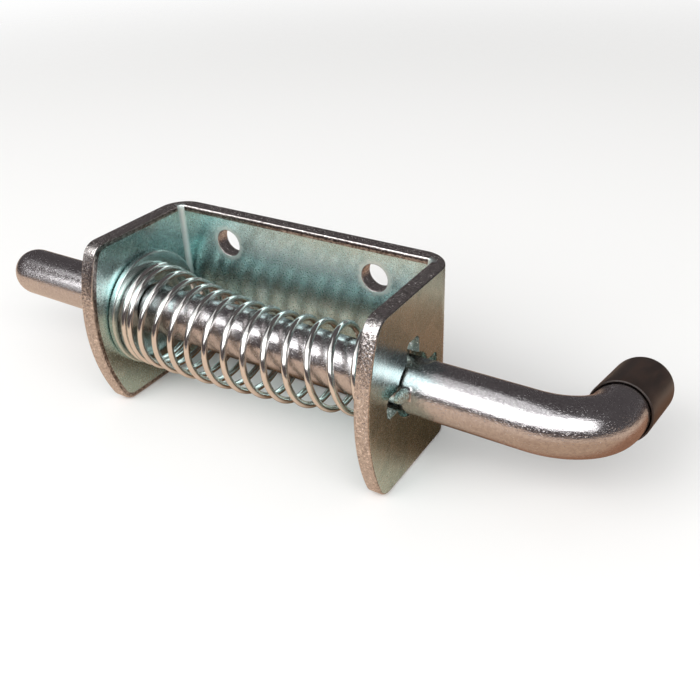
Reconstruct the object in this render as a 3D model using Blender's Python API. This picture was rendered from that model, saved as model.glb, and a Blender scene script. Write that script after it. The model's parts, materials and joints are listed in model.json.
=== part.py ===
# Spring bolt: a sliding pin in a folded bracket, held out by a coil spring.
#
# Metres, +Z up.  The origin is the centre of the bracket's mounting face, which looks along +Y.
# The pin runs along X: its round tip leaves the bracket towards -X and its bent handle is at +X.
# Pulling the handle towards +X draws the tip in and squeezes the spring against the right ear.

import math

import bmesh
import bpy
from mathutils import Matrix, Vector

# Bracket: one sheet folded into a U, with a plate at the back and an ear at each end
BRACKET_LENGTH = 0.0764         # over the outer faces of the two ears
BRACKET_HEIGHT = 0.0418
SHEET = 0.0036
INNER_BEND_RADIUS = 0.0012
OUTER_BEND_RADIUS = 0.0065      # the sheet is drawn a little thinner round the bend
EAR_CORNER_REACH = 0.0314       # from the mounting face to where the ear's front corners would meet
EAR_CROWN = 0.0052              # how far the front edge bulges past those corners
EAR_CORNER_RADIUS = 0.0043

# Screw holes in the plate, two above and two below the pin
SCREW_HOLE_RADIUS = 0.00325
SCREW_HOLE_X = 0.0205           # from the middle of the plate
SCREW_HOLE_Z = 0.0134

# Pin: a round bar with a domed tip, two pairs of pinched lugs and a bent handle
ROD_RADIUS = 0.006
ROD_FROM_FACE = 0.0188          # from the mounting face to the pin's axis
TIP_LENGTH = 0.0432             # how far the tip stands out of the left ear
BEND_FROM_EAR = 0.0255          # straight run between the right ear and the bend
BEND_RADIUS = 0.0124            # at the bar's middle
BEND_ANGLE = math.radians(88)
HANDLE_DROP = math.radians(12)  # the handle points back past the plate, this far below level
BARE_HANDLE = 0.0034            # straight bar between the bend and the cap
ROD_END_CHAMFER = 0.0006

# Running clearances
BORE_PLAY = 0.0009              # pin to the bores in the ears
TOUCH_GAP = 0.0002              # between pieces that press on each other
SLEEVE_GAP = 0.0003             # washer bore to pin, and coils to pin

# Three notches round the right ear's bore, and the pinched lugs that pass two of them in assembly
NOTCH_WIDTH = 0.005
NOTCH_REACH = 0.0107            # from the pin's axis
LUG_WIDTH = 0.0028
LUG_LENGTH = 0.0022
LUG_REACH = 0.0102
LUG_TURN = math.radians(15)     # the front lug stands this far above level, seen with the handle down
WASHER_LUG_OVERLAP = 0.00035    # how far the hidden lugs stand over the washer's bore
WASHER_LUG_LENGTH = 0.002
LUG_EDGE_RADIUS = 0.0004
PINCH_DEPTH = 0.0006
PINCH_TOOL_RADIUS = 0.005

# Washer that the spring pushes against
WASHER_RADIUS = 0.0141
WASHER_THICKNESS = 0.0017
WASHER_EDGE_RADIUS = 0.0004

# Spring: wide and close-wound at the washer, narrow and open at the right ear
WIRE_RADIUS = 0.00075
SPRING_RADIUS_WASHER = 0.01265  # outer radius at the washer
SPRING_RADIUS_EAR = 0.0099      # outer radius at the right ear
SPRING_TAPER = 2.3              # how soon the spring narrows: 1 is an even cone
CLOSED_TURNS_WASHER = 1.43
OPEN_TURNS = 12.33
CLOSED_TURNS_EAR = 0.78
CLOSED_GAP = 0.00028            # between neighbouring closed turns
OPEN_PITCH_RATIO = 0.71         # first open turn's pitch as a share of the last one's
SPRING_START_ANGLE = math.radians(66)

# The loose coils sag off the pin's axis and bow between their two seats
SPRING_FORWARD_WASHER = 0.00054  # away from the plate
SPRING_FORWARD_EAR = -0.00015
SPRING_FORWARD_BOW = 0.00136     # added at mid length
SPRING_DOWN_WASHER = 0.00105
SPRING_DOWN_EAR = -0.00153
SPRING_DOWN_BOW = 0.00218        # added at mid length
COIL_TILT = 1.39                 # how far open coils tilt with the bow: 1 is square to the bowed line
TILT_TURNS = 1.2                 # turns over which the tilt sets in beside the closed ones

# Plastic cap on the handle's end
CAP_RADIUS = 0.00665
CAP_WALL = 0.00045
CAP_LENGTH = 0.0198
CAP_END_WALL = 0.0018
CAP_END_RADIUS = 0.0034

# Fineness of the round shapes
ROD_SIDES = 32
CAP_SIDES = 30
BORE_SIDES = 40
SCREW_HOLE_SIDES = 28
WASHER_SIDES = 56
WIRE_SIDES_RESOLUTION = 2
STEPS_PER_TURN = 20
BEND_STEPS = 12
DOME_STEPS = 7
FOLD_STEPS = 7
CROWN_STEPS = 14
CORNER_STEPS = 5
ROUND_EDGE_STEPS = 3
CUT_OVERSHOOT = 0.002           # how far a cutter runs past the faces that it cuts

# Places that follow from the sizes
HALF_LENGTH = BRACKET_LENGTH / 2
HALF_HEIGHT = BRACKET_HEIGHT / 2
EAR_INNER_X = HALF_LENGTH - SHEET
AXIS_POINT = Vector((0.0, -ROD_FROM_FACE, 0.0))
BORE_RADIUS = ROD_RADIUS + BORE_PLAY
WASHER_LEFT_X = -EAR_INNER_X + TOUCH_GAP
WASHER_RIGHT_X = WASHER_LEFT_X + WASHER_THICKNESS
WASHER_BORE_RADIUS = ROD_RADIUS + SLEEVE_GAP
CAP_BORE_RADIUS = CAP_RADIUS - CAP_WALL
HANDLE_DIRECTION = Vector((0.0, math.cos(HANDLE_DROP), -math.sin(HANDLE_DROP)))


def clear_scene():
    for thing in list(bpy.data.objects):
        bpy.data.objects.remove(thing, do_unlink=True)


def make_material(name, colour, roughness, metallic):
    material = bpy.data.materials.new(name)
    material.use_nodes = True
    shader = material.node_tree.nodes["Principled BSDF"]
    shader.inputs["Base Color"].default_value = (*colour, 1.0)
    shader.inputs["Roughness"].default_value = roughness
    shader.inputs["Metallic"].default_value = metallic
    return material


def add_object(name, data, material=None, location=(0, 0, 0)):
    thing = bpy.data.objects.new(name, data)
    thing.location = location
    bpy.context.scene.collection.objects.link(thing)
    if material:
        data.materials.append(material)
    return thing


def finish_mesh(name, mesh_builder, smooth_angle=None):
    """Turn a bmesh into a mesh whose faces point out, shaded smooth below the given angle."""
    bmesh.ops.recalc_face_normals(mesh_builder, faces=mesh_builder.faces)
    mesh = bpy.data.meshes.new(name)
    mesh_builder.to_mesh(mesh)
    mesh_builder.free()
    if smooth_angle:
        mesh.shade_smooth()
        mesh.set_sharp_from_angle(angle=smooth_angle)
    return mesh


def prism(name, outline, direction):
    """Closed block: a flat outline pushed along a direction."""
    builder = bmesh.new()
    face = builder.faces.new([builder.verts.new(point) for point in outline])
    pushed = bmesh.ops.extrude_face_region(builder, geom=[face])
    corners = [item for item in pushed["geom"] if isinstance(item, bmesh.types.BMVert)]
    bmesh.ops.translate(builder, verts=corners, vec=direction)
    return finish_mesh(name, builder)


def block(name, size, edge_radius=0.0):
    builder = bmesh.new()
    bmesh.ops.create_cube(builder, size=1.0)
    bmesh.ops.scale(builder, verts=builder.verts, vec=size)
    if edge_radius:
        bmesh.ops.bevel(builder, geom=list(builder.edges), offset=edge_radius, segments=2,
                        profile=0.5, affect="EDGES")
    return finish_mesh(name, builder)


def drum(name, radius, length, sides, turn):
    """Cylinder on the origin, its axis turned from Z by the given matrix."""
    builder = bmesh.new()
    bmesh.ops.create_cone(builder, cap_ends=True, segments=sides, radius1=radius, radius2=radius,
                          depth=length, matrix=turn)
    return finish_mesh(name, builder)


def rings_to_mesh(name, rings, smooth_angle, closed_loop=False):
    """Skin a list of rings.  A ring of one point is a pole; open ends are capped flat."""
    builder = bmesh.new()
    loops = [[builder.verts.new(point) for point in ring] for ring in rings]
    pairs = list(zip(loops, loops[1:]))
    if closed_loop:
        pairs.append((loops[-1], loops[0]))
    for lower, upper in pairs:
        sides = max(len(lower), len(upper))
        for index in range(sides):
            after = (index + 1) % sides
            if len(lower) == 1:
                builder.faces.new((lower[0], upper[after], upper[index]))
            elif len(upper) == 1:
                builder.faces.new((lower[index], lower[after], upper[0]))
            else:
                builder.faces.new((lower[index], lower[after], upper[after], upper[index]))
    if not closed_loop:
        for end in (loops[0], loops[-1]):
            if len(end) > 1:
                builder.faces.new(end)
    return finish_mesh(name, builder, smooth_angle)


def ring(centre, side, up, radius, sides):
    if radius <= 0:
        return [centre]
    angles = [math.tau * index / sides for index in range(sides)]
    return [centre + radius * (math.cos(a) * side + math.sin(a) * up) for a in angles]


def turned(name, profile, sides, closed_loop):
    """Turned piece about X from (along, radius) pairs."""
    rings = [ring(Vector((along, 0, 0)), Vector((0, 1, 0)), Vector((0, 0, 1)), radius, sides)
             for along, radius in profile]
    return rings_to_mesh(name, rings, math.radians(35), closed_loop)


def corner_arc(centre, radius, start, end, steps):
    """Points of an arc from one angle to another, both ends included."""
    angles = [start + (end - start) * step / steps for step in range(steps + 1)]
    return [(centre[0] + radius * math.cos(a), centre[1] + radius * math.sin(a)) for a in angles]


def cut(target, cutter_mesh, location, operation="DIFFERENCE"):
    cutter = add_object(cutter_mesh.name, cutter_mesh, location=location)
    cutter.hide_render = True
    cutter.display_type = "WIRE"
    modifier = target.modifiers.new(cutter_mesh.name, "BOOLEAN")
    modifier.operation = operation
    modifier.solver = "EXACT"
    modifier.object = cutter
    return cutter


def fold_outline():
    """Section of the folded sheet seen from above, as (x, y) points, with ears left too long."""
    front = -(EAR_CORNER_REACH + EAR_CROWN + CUT_OVERSHOOT)
    quarter = math.pi / 2
    outer_x = HALF_LENGTH - OUTER_BEND_RADIUS
    inner_x = EAR_INNER_X - INNER_BEND_RADIUS
    inner_y = -SHEET - INNER_BEND_RADIUS
    left_out = corner_arc((-outer_x, -OUTER_BEND_RADIUS), OUTER_BEND_RADIUS, math.pi, quarter, FOLD_STEPS)
    right_out = corner_arc((outer_x, -OUTER_BEND_RADIUS), OUTER_BEND_RADIUS, quarter, 0, FOLD_STEPS)
    right_in = corner_arc((inner_x, inner_y), INNER_BEND_RADIUS, 0, quarter, FOLD_STEPS)
    left_in = corner_arc((-inner_x, inner_y), INNER_BEND_RADIUS, quarter, math.pi, FOLD_STEPS)
    points = [(-HALF_LENGTH, front)] + left_out + right_out + [(HALF_LENGTH, front)]
    points += [(EAR_INNER_X, front)] + right_in + left_in + [(-EAR_INNER_X, front)]
    return points


def ear_outline():
    """Side view of the bracket as (y, z) points: a crowned front edge between rounded corners."""
    crown_radius = (HALF_HEIGHT ** 2 + EAR_CROWN ** 2) / (2 * EAR_CROWN)
    crown_y = -(EAR_CORNER_REACH + EAR_CROWN) + crown_radius
    corner_z = HALF_HEIGHT - EAR_CORNER_RADIUS
    corner_y = crown_y - math.sqrt((crown_radius - EAR_CORNER_RADIUS) ** 2 - corner_z ** 2)
    meet = math.atan2(corner_z, corner_y - crown_y)
    top = corner_arc((corner_y, corner_z), EAR_CORNER_RADIUS, math.pi / 2, meet, CORNER_STEPS)
    front = corner_arc((crown_y, 0), crown_radius, meet, math.tau - meet, CROWN_STEPS)
    bottom = [(y, -z) for y, z in reversed(top)]
    return [(CUT_OVERSHOOT, HALF_HEIGHT)] + top + front[1:-1] + bottom + [(CUT_OVERSHOOT, -HALF_HEIGHT)]


def make_bracket(material):
    tall = HALF_HEIGHT + CUT_OVERSHOOT
    section = [(x, y, -tall) for x, y in fold_outline()]
    bracket = add_object("bracket", prism("bracket", section, (0, 0, 2 * tall)), material)

    wide = HALF_LENGTH + CUT_OVERSHOOT
    side_view = [(-wide, y, z) for y, z in ear_outline()]
    cut(bracket, prism("cutter_side_view", side_view, (2 * wide, 0, 0)), (0, 0, 0), "INTERSECT")

    along_y = Matrix.Rotation(math.pi / 2, 4, "X")
    through = SHEET + 2 * CUT_OVERSHOOT
    for row, z in (("upper", SCREW_HOLE_Z), ("lower", -SCREW_HOLE_Z)):
        for end, x in (("left", -SCREW_HOLE_X), ("right", SCREW_HOLE_X)):
            hole = drum(f"cutter_screw_hole_{row}_{end}", SCREW_HOLE_RADIUS, through,
                        SCREW_HOLE_SIDES, along_y)
            cut(bracket, hole, (x, -SHEET / 2, z))

    along_x = Matrix.Rotation(math.pi / 2, 4, "Y")
    ear_middle = HALF_LENGTH - SHEET / 2
    for end, x in (("left", -ear_middle), ("right", ear_middle)):
        bore = drum(f"cutter_bore_{end}", BORE_RADIUS, through, BORE_SIDES, along_x)
        cut(bracket, bore, AXIS_POINT + Vector((x, 0, 0)))

    notch_place = AXIS_POINT + Vector((ear_middle, 0, 0))
    level = block("cutter_notches_level", (through, 2 * NOTCH_REACH, NOTCH_WIDTH))
    upright = block("cutter_notch_upright", (through, NOTCH_WIDTH, NOTCH_REACH))
    cut(bracket, level, notch_place)
    cut(bracket, upright, notch_place + Vector((0, 0, NOTCH_REACH / 2)))
    return bracket


def bend_place(angle):
    """Centre and direction of the bar after it has turned by an angle in the handle's bend."""
    along = Vector((1, 0, 0))
    start = Vector((HALF_LENGTH + BEND_FROM_EAR, 0, 0))
    centre = start + BEND_RADIUS * (math.sin(angle) * along + (1 - math.cos(angle)) * HANDLE_DIRECTION)
    return centre, math.cos(angle) * along + math.sin(angle) * HANDLE_DIRECTION


def rod_stations():
    """Centre, tangent and radius along the bar, from the tip's pole to the handle's end."""
    along = Vector((1, 0, 0))
    tip_x = -HALF_LENGTH - TIP_LENGTH
    dome_x = tip_x + ROD_RADIUS
    stations = []
    for step in range(DOME_STEPS + 1):
        angle = math.pi / 2 * step / DOME_STEPS
        centre = Vector((dome_x - ROD_RADIUS * math.cos(angle), 0, 0))
        stations.append((centre, along, ROD_RADIUS * math.sin(angle)))

    for step in range(BEND_STEPS + 1):
        stations.append((*bend_place(BEND_ANGLE * step / BEND_STEPS), ROD_RADIUS))

    leg_start, tangent, _ = stations[-1]
    leg = BARE_HANDLE + CAP_LENGTH - CAP_END_WALL - TOUCH_GAP
    stations.append((leg_start + (leg - ROD_END_CHAMFER) * tangent, tangent, ROD_RADIUS))
    stations.append((leg_start + leg * tangent, tangent, ROD_RADIUS - ROD_END_CHAMFER))
    return stations


def make_rod(material, axis):
    across = Vector((1, 0, 0)).cross(HANDLE_DIRECTION)
    rings = [ring(centre, across.cross(tangent), across, radius, ROD_SIDES)
             for centre, tangent, radius in rod_stations()]
    rod = add_object("bolt_rod", rings_to_mesh("bolt_rod", rings, math.radians(30)), material)
    rod.parent = axis

    lug_pairs = (
        ("lugs_at_ear", HALF_LENGTH + SLEEVE_GAP, LUG_LENGTH, LUG_REACH),
        ("lugs_at_washer", WASHER_LEFT_X - TOUCH_GAP - WASHER_LUG_LENGTH, WASHER_LUG_LENGTH,
         WASHER_BORE_RADIUS + WASHER_LUG_OVERLAP),
    )
    across_rod = Matrix.Rotation(math.pi / 2, 4, "X")
    turned_up = Matrix.Rotation(-LUG_TURN, 4, "X")
    for name, start_x, length, reach in lug_pairs:
        middle = start_x + length / 2
        lug_mesh = block(name, (length, 2 * reach, LUG_WIDTH), LUG_EDGE_RADIUS)
        lug_mesh.transform(turned_up)
        pair = cut(rod, lug_mesh, (middle, 0, 0), "UNION")
        pair.parent = axis
        for side in (1, -1):
            height = side * (ROD_RADIUS + PINCH_TOOL_RADIUS - PINCH_DEPTH)
            dent = drum(f"cutter_{name}_dent{side}", PINCH_TOOL_RADIUS, 3 * ROD_RADIUS,
                        SCREW_HOLE_SIDES, turned_up @ Matrix.Translation((0, 0, height)) @ across_rod)
            cutter = cut(rod, dent, (middle, 0, 0))
            cutter.parent = axis
    return rod


def make_washer(material, axis):
    edge = WASHER_EDGE_RADIUS
    outer_left = corner_arc((edge, WASHER_RADIUS - edge), edge, math.pi, math.pi / 2, ROUND_EDGE_STEPS)
    outer_right = corner_arc((WASHER_THICKNESS - edge, WASHER_RADIUS - edge), edge,
                             math.pi / 2, 0, ROUND_EDGE_STEPS)
    profile = [(0, WASHER_BORE_RADIUS)] + outer_left + outer_right + [(WASHER_THICKNESS, WASHER_BORE_RADIUS)]
    washer = add_object("washer", turned("washer", profile, WASHER_SIDES, True), material,
                        (WASHER_LEFT_X, 0, 0))
    washer.parent = axis
    return washer


def bowed(at_washer, at_ear, bow, along):
    """Offset and slope, per share of the length, of a line with one value at each end and a bow."""
    offset = at_washer * (1 - along) + at_ear * along + bow * 4 * along * (1 - along)
    slope = at_ear - at_washer + bow * 4 * (1 - 2 * along)
    return offset, slope


def eased(share):
    share = min(1.0, max(0.0, share))
    return share * share * (3 - 2 * share)


def coil_points():
    """Wire centre line, worked out turn by turn from the washer to the right ear."""
    closed_pitch = 2 * WIRE_RADIUS + CLOSED_GAP
    start_x = WASHER_RIGHT_X + TOUCH_GAP + WIRE_RADIUS
    end_x = EAR_INNER_X - TOUCH_GAP - WIRE_RADIUS
    closed_start = CLOSED_TURNS_WASHER * closed_pitch
    closed_end = CLOSED_TURNS_EAR * closed_pitch
    open_length = end_x - start_x - closed_start - closed_end
    turns = CLOSED_TURNS_WASHER + OPEN_TURNS + CLOSED_TURNS_EAR
    slack = 1 - OPEN_PITCH_RATIO

    points = []
    steps = round(turns * STEPS_PER_TURN)
    for step in range(steps + 1):
        turn = turns * step / steps
        if turn < CLOSED_TURNS_WASHER:
            x = start_x + turn * closed_pitch
        elif turn > turns - CLOSED_TURNS_EAR:
            x = end_x - (turns - turn) * closed_pitch
        else:
            share = (turn - CLOSED_TURNS_WASHER) / OPEN_TURNS
            wound = (share - slack * (1 - (1 - share) ** 3) / 3) / (1 - slack / 3)
            x = start_x + closed_start + open_length * wound
        along = (x - start_x) / (end_x - start_x)
        taper = (1 - along) ** SPRING_TAPER
        outer = SPRING_RADIUS_EAR + (SPRING_RADIUS_WASHER - SPRING_RADIUS_EAR) * taper
        radius = outer - WIRE_RADIUS
        forward, forward_slope = bowed(SPRING_FORWARD_WASHER, SPRING_FORWARD_EAR, SPRING_FORWARD_BOW, along)
        down, down_slope = bowed(SPRING_DOWN_WASHER, SPRING_DOWN_EAR, SPRING_DOWN_BOW, along)
        room = outer - 2 * WIRE_RADIUS - ROD_RADIUS - SLEEVE_GAP
        held = min(1.0, room / max(math.hypot(forward, down), SLEEVE_GAP))
        angle = SPRING_START_ANGLE + math.tau * turn
        y = radius * math.cos(angle)
        z = radius * math.sin(angle)
        tilt = COIL_TILT * (forward_slope * y + down_slope * z) / (end_x - start_x)
        tilt *= eased((turn - CLOSED_TURNS_WASHER) / TILT_TURNS)
        tilt *= eased((turns - CLOSED_TURNS_EAR - turn) / TILT_TURNS)
        points.append((x + tilt, y - held * forward, z - held * down))
    return points


def make_spring(material):
    curve = bpy.data.curves.new("spring", "CURVE")
    curve.dimensions = "3D"
    curve.bevel_depth = WIRE_RADIUS
    curve.bevel_resolution = WIRE_SIDES_RESOLUTION
    curve.use_fill_caps = True
    points = coil_points()
    spline = curve.splines.new("POLY")
    spline.points.add(len(points) - 1)
    for place, point in zip(spline.points, points):
        place.co = (*point, 1.0)
    spline.use_smooth = True
    return add_object("spring", curve, material, AXIS_POINT)


def make_cap(material, axis):
    corner = corner_arc((CAP_LENGTH - CAP_END_RADIUS, CAP_RADIUS - CAP_END_RADIUS), CAP_END_RADIUS,
                        math.pi / 2, 0, CORNER_STEPS)
    bore_end = CAP_LENGTH - CAP_END_WALL
    profile = [(bore_end, 0.0), (bore_end, CAP_BORE_RADIUS), (0, CAP_BORE_RADIUS), (0, CAP_RADIUS)]
    profile += corner + [(CAP_LENGTH, 0.0)]
    cap = add_object("handle_cap", turned("handle_cap", profile, CAP_SIDES, False), material)
    bend_end, direction = bend_place(BEND_ANGLE)
    across = Vector((1, 0, 0)).cross(HANDLE_DIRECTION)
    turn = Matrix((direction, across.cross(direction), across)).transposed()
    cap.parent = axis
    cap.matrix_local = Matrix.Translation(bend_end + BARE_HANDLE * direction) @ turn.to_4x4()
    return cap


def main():
    clear_scene()
    zinc = make_material("zinc_plate", (0.52, 0.60, 0.60), 0.35, 1.0)
    bright_bar = make_material("zinc_bar", (0.60, 0.58, 0.56), 0.38, 1.0)
    spring_wire = make_material("spring_wire", (0.70, 0.70, 0.68), 0.2, 1.0)
    washer_zinc = make_material("washer_zinc", (0.58, 0.66, 0.65), 0.3, 1.0)
    black_plastic = make_material("cap_plastic", (0.045, 0.035, 0.03), 0.5, 0.0)

    axis = add_object("pin_axis", None, location=AXIS_POINT)
    make_bracket(zinc)
    make_rod(bright_bar, axis)
    make_washer(washer_zinc, axis)
    make_spring(spring_wire)
    make_cap(black_plastic, axis)


main()
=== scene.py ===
import json
import math

import bmesh
import bpy
from mathutils import Matrix, Vector, noise


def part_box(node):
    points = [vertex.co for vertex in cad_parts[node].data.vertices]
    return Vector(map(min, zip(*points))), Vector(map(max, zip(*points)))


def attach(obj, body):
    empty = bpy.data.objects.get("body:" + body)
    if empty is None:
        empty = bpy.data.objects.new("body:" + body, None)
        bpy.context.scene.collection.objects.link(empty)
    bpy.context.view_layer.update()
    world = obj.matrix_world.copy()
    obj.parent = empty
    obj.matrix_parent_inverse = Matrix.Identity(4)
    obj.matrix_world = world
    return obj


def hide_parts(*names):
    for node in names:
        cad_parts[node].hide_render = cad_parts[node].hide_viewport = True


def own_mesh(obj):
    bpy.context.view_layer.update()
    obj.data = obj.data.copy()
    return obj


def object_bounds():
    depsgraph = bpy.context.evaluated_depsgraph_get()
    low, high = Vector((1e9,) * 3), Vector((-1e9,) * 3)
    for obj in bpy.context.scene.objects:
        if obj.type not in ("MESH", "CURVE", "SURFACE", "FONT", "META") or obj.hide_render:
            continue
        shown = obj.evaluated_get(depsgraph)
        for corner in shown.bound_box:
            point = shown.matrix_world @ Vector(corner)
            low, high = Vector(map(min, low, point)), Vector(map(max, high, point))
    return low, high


# Spring bolt: a folded bracket, a sliding bar with a bent handle, a washer, a coil spring and a plastic cap.
# Lengths are in metres, in the frame of the CAD model. The bar runs along X and the spring sits round it.

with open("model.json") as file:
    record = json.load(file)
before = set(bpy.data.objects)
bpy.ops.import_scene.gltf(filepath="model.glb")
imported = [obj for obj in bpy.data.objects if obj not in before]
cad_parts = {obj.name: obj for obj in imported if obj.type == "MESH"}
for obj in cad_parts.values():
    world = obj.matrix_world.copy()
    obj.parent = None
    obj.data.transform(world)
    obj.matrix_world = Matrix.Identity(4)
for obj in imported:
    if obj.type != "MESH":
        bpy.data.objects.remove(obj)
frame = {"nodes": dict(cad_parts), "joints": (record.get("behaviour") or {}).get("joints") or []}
cadLow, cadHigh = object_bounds()
scene = bpy.context.scene

joints = {joint["name"]: joint for joint in frame["joints"]}
barAxis = Vector(joints["handle_turn"]["pos_m"])
bracketLow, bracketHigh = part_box("bracket")
washerLow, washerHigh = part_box("washer")
springLow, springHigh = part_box("spring")
barLow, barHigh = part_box("bolt_rod")
halfLength = bracketHigh.x
halfHeight = bracketHigh.z
mm = 0.001
quarter = math.pi / 2
print("frame loaded,", len(frame["nodes"]), "CAD nodes")


# Small mesh and object helpers

def arc(centre, radius, start, end, steps):
    angles = [start + (end - start) * step / steps for step in range(steps + 1)]
    return [(centre[0] + radius * math.cos(a), centre[1] + radius * math.sin(a)) for a in angles]


def smoothStep(value, low, high):
    share = min(1.0, max(0.0, (value - low) / (high - low)))
    return share * share * (3 - 2 * share)


def meshFrom(builder, name):
    bmesh.ops.recalc_face_normals(builder, faces=builder.faces)
    mesh = bpy.data.meshes.new(name)
    builder.to_mesh(mesh)
    builder.free()
    return mesh


def prism(outline, push):
    builder = bmesh.new()
    face = builder.faces.new([builder.verts.new(point) for point in outline])
    pushed = bmesh.ops.extrude_face_region(builder, geom=[face])
    corners = [item for item in pushed["geom"] if isinstance(item, bmesh.types.BMVert)]
    bmesh.ops.translate(builder, verts=corners, vec=push)
    return meshFrom(builder, "prism")


def addObject(name, data):
    thing = bpy.data.objects.new(name, data)
    scene.collection.objects.link(thing)
    return thing


def carve(mesh, toolMesh, operation="DIFFERENCE"):
    body = addObject("carveBody", mesh)
    tool = addObject("carveTool", toolMesh)
    modifier = body.modifiers.new("carve", "BOOLEAN")
    modifier.object = tool
    modifier.operation = operation
    modifier.solver = "EXACT"
    carved = bpy.data.meshes.new_from_object(body.evaluated_get(bpy.context.evaluated_depsgraph_get()))
    bpy.data.objects.remove(body)
    bpy.data.objects.remove(tool)
    return carved


# Skins rings of points; places are the same points on the straightened piece, which the grain follows
def skin(name, rings, places, loop=False):
    builder = bmesh.new()
    placeLayer = builder.verts.layers.float_vector.new("grainPlace")
    rows = []
    for ringPoints, ringPlaces in zip(rings, places):
        row = []
        for point, place in zip(ringPoints, ringPlaces):
            vert = builder.verts.new(point)
            vert[placeLayer] = place
            row.append(vert)
        rows.append(row)
    pairs = list(zip(rows, rows[1:]))
    if loop:
        pairs.append((rows[-1], rows[0]))
    for lower, upper in pairs:
        sides = max(len(lower), len(upper))
        for index in range(sides):
            after = (index + 1) % sides
            if len(lower) == 1:
                builder.faces.new((lower[0], upper[after], upper[index]))
            elif len(upper) == 1:
                builder.faces.new((lower[index], lower[after], upper[0]))
            else:
                builder.faces.new((lower[index], lower[after], upper[after], upper[index]))
    if not loop:
        for end in (rows[0], rows[-1]):
            if len(end) > 1:
                builder.faces.new(end)
    return meshFrom(builder, name)


# Skins a turned piece from (along, radius) pairs about an axis through origin
def turn(name, profile, sides, origin, turned, loop=False):
    rings = []
    places = []
    for along, radius in profile:
        count = sides if radius > 0 else 1
        angles = [math.tau * index / sides for index in range(count)]
        local = [Vector((along, radius * math.cos(a), radius * math.sin(a))) for a in angles]
        rings.append([origin + turned @ point for point in local])
        places.append(local)
    return skin(name, rings, places, loop)


# One ring of a skin about a point of the centre line, and its place on the straightened piece
def ringAt(centre, travelled, first, second, sides, sizeAt):
    ring = []
    ringPlaces = []
    for index in range(sides):
        angle = math.tau * index / sides
        direction = math.cos(angle) * first + math.sin(angle) * second
        size = sizeAt(direction)
        ring.append(centre + size * direction)
        ringPlaces.append(Vector((travelled, size * math.cos(angle), size * math.sin(angle))))
    return ring, ringPlaces


def addMesh(name, mesh, material):
    mesh.materials.clear()
    mesh.materials.append(material)
    return addObject(name, mesh)


def addPiece(name, mesh, material, body, node, sharpAngle):
    mesh.shade_smooth()
    mesh.set_sharp_from_angle(angle=sharpAngle)
    piece = addMesh(name, mesh, material)
    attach(piece, body)
    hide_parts(node)
    print(name, "made,", len(mesh.polygons), "faces")
    return piece


# Flat faces square to an axis keep their own normal up to their rims; round ones share theirs by area
def steadyNormals(mesh, smoothAngle):
    builder = bmesh.new()
    builder.from_mesh(mesh)
    builder.normal_update()
    limit = math.cos(smoothAngle)
    areas = {face.index: face.calc_area() for face in builder.faces}
    flats = {face.index for face in builder.faces if max(abs(part) for part in face.normal) > 0.999999}
    normals = []
    for face in builder.faces:
        for loop in face.loops:
            near = [other for other in loop.vert.link_faces if other.normal.dot(face.normal) > limit]
            flat = [other for other in near if other.index in flats]
            if flat:
                normals.append(max(flat, key=lambda other: areas[other.index]).normal.copy())
            else:
                total = Vector((0, 0, 0))
                for other in near:
                    total += other.normal * areas[other.index]
                normals.append(total.normalized())
    builder.free()
    mesh.normals_split_custom_set(normals)


# Shader helpers

def addNode(tree, kind, **settings):
    node = tree.nodes.new(kind)
    for key, value in settings.items():
        setattr(node, key, value)
    return node


def feed(tree, socket, source):
    if isinstance(source, bpy.types.NodeSocket):
        tree.links.new(source, socket)
    elif source is not None:
        socket.default_value = source


def doMath(tree, operation, first, second=None, clamp=False):
    node = addNode(tree, "ShaderNodeMath", operation=operation, use_clamp=clamp)
    feed(tree, node.inputs[0], first)
    feed(tree, node.inputs[1], second)
    return node.outputs[0]


def addScaled(tree, base, value, share):
    return doMath(tree, "ADD", base, doMath(tree, "MULTIPLY", value, share))


def hypotenuse(tree, first, second):
    return doMath(tree, "SQRT", addScaled(tree, doMath(tree, "MULTIPLY", first, first), second, second))


def remap(tree, value, low, high, toLow=0.0, toHigh=1.0):
    node = addNode(tree, "ShaderNodeMapRange", clamp=True)
    node.interpolation_type = "SMOOTHSTEP"
    for name, source in (("Value", value), ("From Min", low), ("From Max", high),
                         ("To Min", toLow), ("To Max", toHigh)):
        feed(tree, node.inputs[name], source)
    return node.outputs["Result"]


def mixValue(tree, share, first, second):
    node = addNode(tree, "ShaderNodeMix")
    feed(tree, node.inputs[0], share)
    feed(tree, node.inputs[2], first)
    feed(tree, node.inputs[3], second)
    return node.outputs[0]


def blendColour(tree, share, first, second):
    node = addNode(tree, "ShaderNodeMix", data_type="RGBA")
    feed(tree, node.inputs[0], share)
    feed(tree, node.inputs[6], (*first, 1.0) if isinstance(first, tuple) else first)
    feed(tree, node.inputs[7], (*second, 1.0) if isinstance(second, tuple) else second)
    return node.outputs[2]


def noiseAt(tree, place, scale, detail=4.0, roughness=0.55, distortion=0.0):
    node = addNode(tree, "ShaderNodeTexNoise")
    feed(tree, node.inputs["Vector"], place)
    feed(tree, node.inputs["Scale"], scale)
    node.inputs["Detail"].default_value = detail
    node.inputs["Roughness"].default_value = roughness
    node.inputs["Distortion"].default_value = distortion
    return node.outputs["Fac"]


def stretched(tree, place, factors):
    node = addNode(tree, "ShaderNodeVectorMath", operation="MULTIPLY")
    feed(tree, node.inputs[0], place)
    node.inputs[1].default_value = factors
    return node.outputs[0]


def splitPlace(tree, place):
    node = addNode(tree, "ShaderNodeSeparateXYZ")
    feed(tree, node.inputs[0], place)
    return node.outputs


def lengthOf(tree, place):
    node = addNode(tree, "ShaderNodeVectorMath", operation="LENGTH")
    feed(tree, node.inputs[0], place)
    return node.outputs["Value"]


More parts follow.
